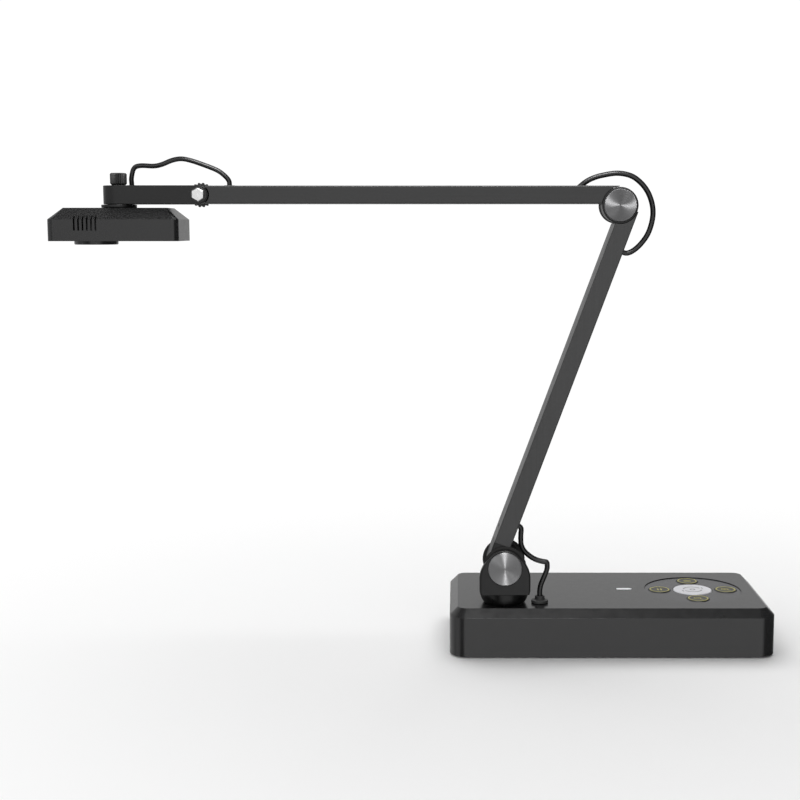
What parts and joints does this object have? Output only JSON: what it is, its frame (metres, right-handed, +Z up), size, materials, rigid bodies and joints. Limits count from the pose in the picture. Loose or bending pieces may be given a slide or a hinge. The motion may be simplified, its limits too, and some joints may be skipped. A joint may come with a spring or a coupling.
{
  "type": "document camera",
  "caption": "Desktop document camera: weighted base with keypad, folding flat-tube arm, and a rectangular camera head that tilts and pans.",
  "frame": {"origin": "on the table, at the middle of the anti-slip mat under the base", "axes": "+X along the base towards the keypad, +Y towards the base's back edge, +Z up"},
  "size_m": [0.5753, 0.1284, 0.3994],
  "materials": {
    "black_plastic": "fine satin",
    "black_metal": "satin black powder coat",
    "panel_black": "smooth",
    "button_silver": "silver satin",
    "brushed_steel": "turned, circular brush lines",
    "bright_steel": "bright zinc plate",
    "screw_steel": "plain",
    "cast_iron": "as cast",
    "brass": "plain",
    "rubber": "matt",
    "cable": "smooth jacket",
    "lens_black": "smooth",
    "glass": "coated",
    "status_white": "diffusing",
    "board": "solder mask"
  },
  "bodies": {
    "base": {"base_shell": "black_plastic", "base_plate": "black_metal", "anti_slip_mat": "rubber", "ballast_plate": "cast_iron", "main_board": "board", "control_panel": "panel_black", "status_lens": "status_white", "usb_port": "bright_steel", "hdmi_port": "bright_steel", "power_socket": "bright_steel", "cable_outlet": "rubber", "plate_screw_1": "screw_steel", "plate_screw_2": "screw_steel", "plate_screw_3": "screw_steel", "plate_screw_4": "screw_steel", "shoulder_cable_lower": "cable"},
    "turret": {"turntable_fork": "black_metal", "swivel_retainer": "brass", "shoulder_axle": "screw_steel", "shoulder_disc_front": "brushed_steel", "shoulder_disc_back": "brushed_steel", "shoulder_cable_upper": "cable"},
    "lower_arm": {"lower_arm_tube": "black_metal", "shoulder_knuckle": "black_metal", "elbow_tongue": "black_metal", "lower_arm_grommet_bottom": "rubber", "lower_arm_grommet_top": "rubber", "elbow_cable": "cable"},
    "upper_arm": {"upper_arm_tube": "black_metal", "elbow_knuckle": "black_metal", "elbow_axle": "screw_steel", "elbow_disc_front": "brushed_steel", "elbow_disc_back": "brushed_steel", "elbow_washer_front": "brass", "elbow_washer_back": "brass", "upper_arm_grommet_elbow": "rubber", "upper_arm_grommet_head": "rubber", "head_tongue": "black_metal", "head_cable": "cable"},
    "head_arm": {"head_bracket": "black_metal", "bracket_grommet": "rubber", "tilt_bolt": "bright_steel", "tilt_washer": "screw_steel", "tilt_nut": "bright_steel"},
    "tilt_wheel": {"tilt_thumbwheel": "black_plastic"},
    "pan_lock": {"pan_knob": "black_plastic"},
    "head": {"head_cover": "black_plastic", "head_tray": "black_plastic", "lens_barrel": "lens_black", "lens_glass": "glass", "camera_module": "lens_black", "camera_board": "board", "head_flange": "black_metal", "pan_spindle": "screw_steel"},
    "centre_key": {"centre_button": "button_silver"},
    "menu_key": {"menu_button": "panel_black"},
    "freeze_key": {"freeze_button": "panel_black"},
    "zoom_out_key": {"zoom_out_button": "panel_black"},
    "zoom_in_key": {"zoom_in_button": "panel_black"}
  },
  "joints": [
    {"name": "base_swivel", "type": "hinge", "parent": "base", "child": "turret", "pos_m": [-0.087, -0.037, 0.04], "axis": [0, 0, 1], "range_deg": [-35, 35], "deforming": ["shoulder_cable_lower"]},
    {"name": "shoulder_fold", "type": "hinge", "parent": "turret", "child": "lower_arm", "pos_m": [-0.087, -0.037, 0.0718], "axis": [0, 1, 0], "range_deg": [-15, 65], "deforming": ["shoulder_cable_upper"]},
    {"name": "elbow_fold", "type": "hinge", "parent": "lower_arm", "child": "upper_arm", "pos_m": [0.00199, -0.037, 0.36117], "axis": [0, 1, 0], "range_deg": [-35, 80], "deforming": ["elbow_cable"]},
    {"name": "head_tilt", "type": "hinge", "parent": "upper_arm", "child": "head_arm", "pos_m": [-0.3275, -0.037, 0.36937], "axis": [0, 1, 0], "range_deg": [-60, 60], "deforming": ["head_cable"]},
    {"name": "tilt_wheel_turn", "type": "hinge", "parent": "head_arm", "child": "tilt_wheel", "pos_m": [-0.3275, -0.037, 0.36937], "axis": [0, 1, 0], "range_deg": [-90, 90]},
    {"name": "head_pan", "type": "hinge", "parent": "head_arm", "child": "head", "pos_m": [-0.3928, -0.037, 0.36937], "axis": [0, 0, 1], "range_deg": [-90, 90]},
    {"name": "pan_knob_turn", "type": "hinge", "parent": "head_arm", "child": "pan_lock", "pos_m": [-0.3928, -0.037, 0.36937], "axis": [0, 0, 1], "range_deg": [-120, 120]},
    {"name": "centre_key_press", "type": "slide", "parent": "base", "child": "centre_key", "axis": [0, 0, -1], "range_m": [0, 0.0006], "stiffness_N_per_m": 900, "springref_m": -0.0006},
    {"name": "menu_key_press", "type": "slide", "parent": "base", "child": "menu_key", "axis": [0, 0, -1], "range_m": [0, 0.0006], "stiffness_N_per_m": 700, "springref_m": -0.0006},
    {"name": "freeze_key_press", "type": "slide", "parent": "base", "child": "freeze_key", "axis": [0, 0, -1], "range_m": [0, 0.0006], "stiffness_N_per_m": 700, "springref_m": -0.0006},
    {"name": "zoom_out_key_press", "type": "slide", "parent": "base", "child": "zoom_out_key", "axis": [0, 0, -1], "range_m": [0, 0.0006], "stiffness_N_per_m": 700, "springref_m": -0.0006},
    {"name": "zoom_in_key_press", "type": "slide", "parent": "base", "child": "zoom_in_key", "axis": [0, 0, -1], "range_m": [0, 0.0006], "stiffness_N_per_m": 700, "springref_m": -0.0006}
  ]
}
